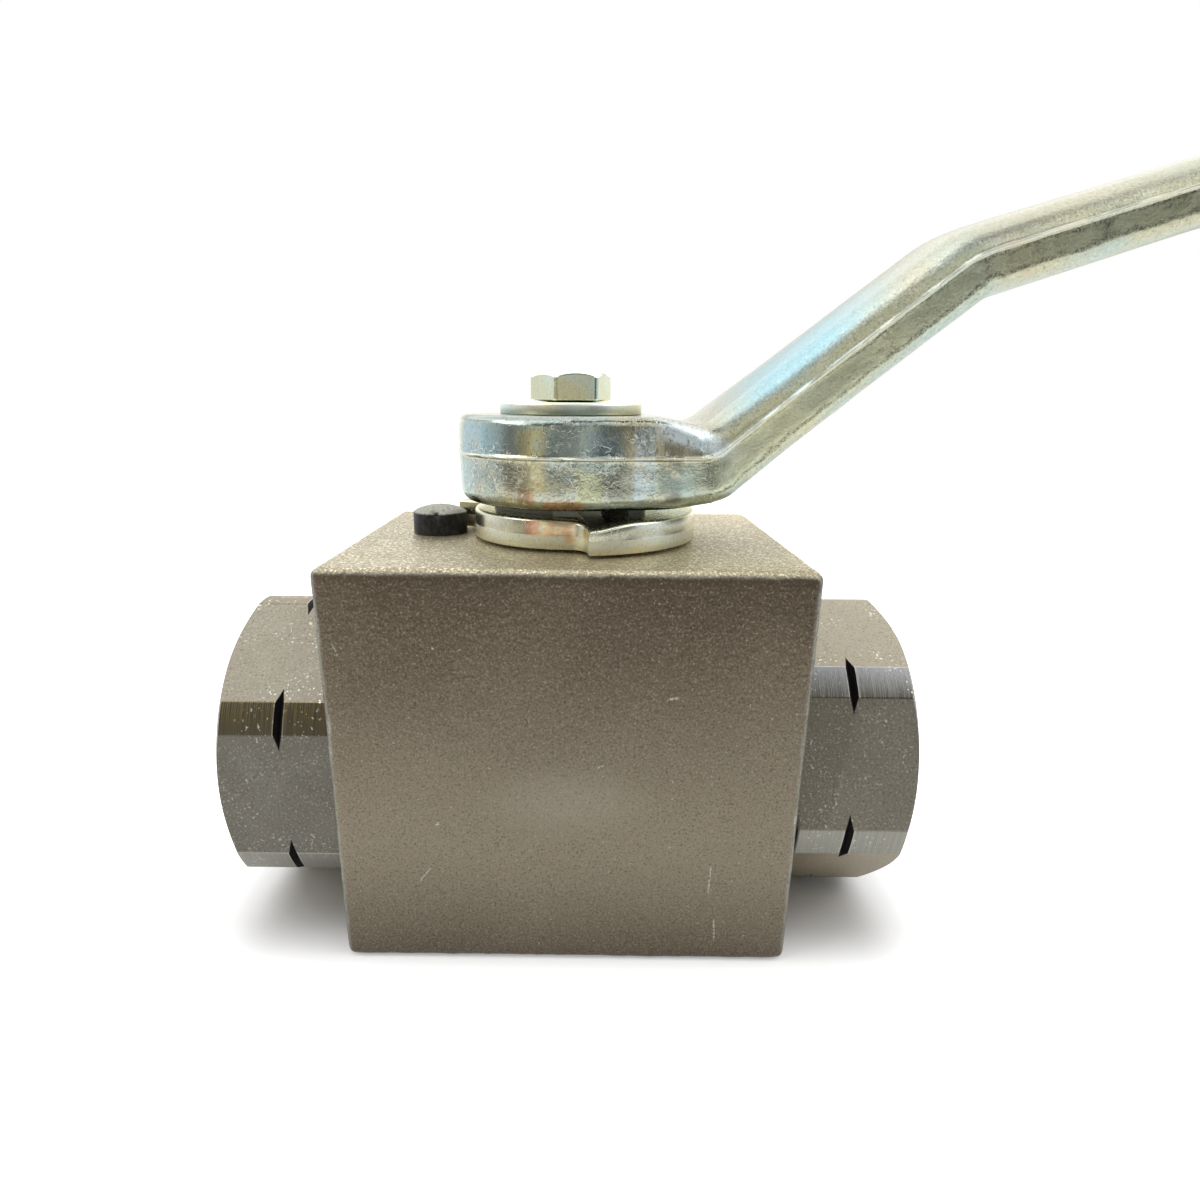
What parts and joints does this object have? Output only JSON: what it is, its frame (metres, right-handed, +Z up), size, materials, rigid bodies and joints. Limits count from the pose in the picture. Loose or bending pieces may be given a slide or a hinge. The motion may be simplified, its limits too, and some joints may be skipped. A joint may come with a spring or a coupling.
{
  "type": "three-way ball valve",
  "caption": "Block-body three-way ball valve with an L-bore ball, screwed hexagonal port adapters, a stop disc with its pin, and a cranked forged lever.",
  "frame": {"origin": "centre of the block's bottom face, under the stem axis", "axes": "+X to the right-hand port, along the lever at rest; +Y to the rear port; +Z up the stem"},
  "size_m": [0.2229, 0.067, 0.1315],
  "materials": {
    "body_steel": "grit-blasted and phosphated, matt brown-grey",
    "adapter_steel": "phosphated flats with turned corners",
    "ball_chrome": "hard chromed and polished",
    "stem_steel": "ground",
    "seat_plastic": "turned acetal",
    "seal_rubber": "smooth",
    "pin_black": "black oxide, matt",
    "zinc_plate": "blanked and zinc plated",
    "forged_zinc": "drop forged and zinc plated, bluish",
    "bolt_zinc": "cold headed and zinc plated",
    "spring_steel": "phosphated spring steel"
  },
  "bodies": {
    "housing": {"body": "body_steel", "adapter_left": "adapter_steel", "adapter_right": "adapter_steel", "adapter_rear": "adapter_steel", "adapter_o_ring_left": "seal_rubber", "adapter_o_ring_right": "seal_rubber", "adapter_o_ring_rear": "seal_rubber", "seat_left": "seat_plastic", "seat_right": "seat_plastic", "seat_rear": "seat_plastic", "seat_o_ring_left": "seal_rubber", "seat_o_ring_right": "seal_rubber", "seat_o_ring_rear": "seal_rubber", "stem_thrust_washer": "seat_plastic", "stop_pin": "pin_black"},
    "handle": {"stem": "stem_steel", "stem_o_ring_lower": "seal_rubber", "stem_o_ring_upper": "seal_rubber", "stop_disc": "zinc_plate", "retaining_ring": "spring_steel", "lever": "forged_zinc", "washer": "zinc_plate", "bolt": "bolt_zinc"},
    "ball": {"ball": "ball_chrome"}
  },
  "joints": [
    {"name": "lever_turn", "type": "hinge", "parent": "housing", "child": "handle", "pos_m": [0, 0, 0.056], "axis": [0, 0, 1], "range_deg": [-90, 0]},
    {"name": "ball_turn", "type": "hinge", "parent": "housing", "child": "ball", "pos_m": [0, 0, 0.0234], "axis": [0, 0, 1], "range_deg": [-90, 0]}
  ],
  "couplings": [
    {"joint": "ball_turn", "follows": "lever_turn", "ratio": 1}
  ]
}
